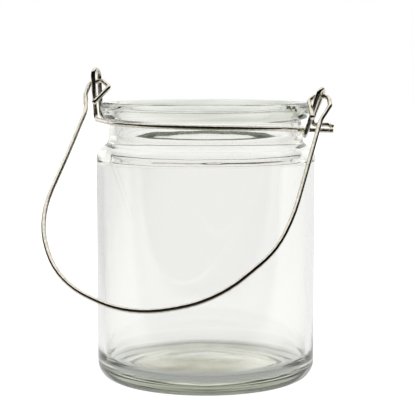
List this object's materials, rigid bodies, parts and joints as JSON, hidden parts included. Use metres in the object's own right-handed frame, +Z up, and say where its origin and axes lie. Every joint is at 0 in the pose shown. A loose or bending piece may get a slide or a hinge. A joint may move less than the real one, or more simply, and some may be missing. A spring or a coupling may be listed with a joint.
{
  "type": "jar lantern",
  "caption": "Clear glass tealight jar with a rolled rim, a bent wire round the neck forming two ears, and a wire bail handle that swings over the top.",
  "frame": {"origin": "middle of the jar's underside, on the plane it stands on", "axes": "+Z up along the jar's axis, X through the two ears, the handle rests towards -Y"},
  "size_m": [0.101, 0.117, 0.1213],
  "materials": {
    "glass": "clear pressed soda glass with a faint green tint where it is thick",
    "wire": "bright drawn galvanised wire"
  },
  "bodies": {
    "jar": {"glass_jar": "glass", "neck_wire": "wire"},
    "bail": {"bail_handle": "wire"}
  },
  "joints": [
    {"name": "bail_swing", "type": "hinge", "parent": "jar", "child": "bail", "pos_m": [0.00016, 0, 0.1127], "axis": [-0.9987, 0, 0.0516], "range_deg": [0, 270]}
  ]
}
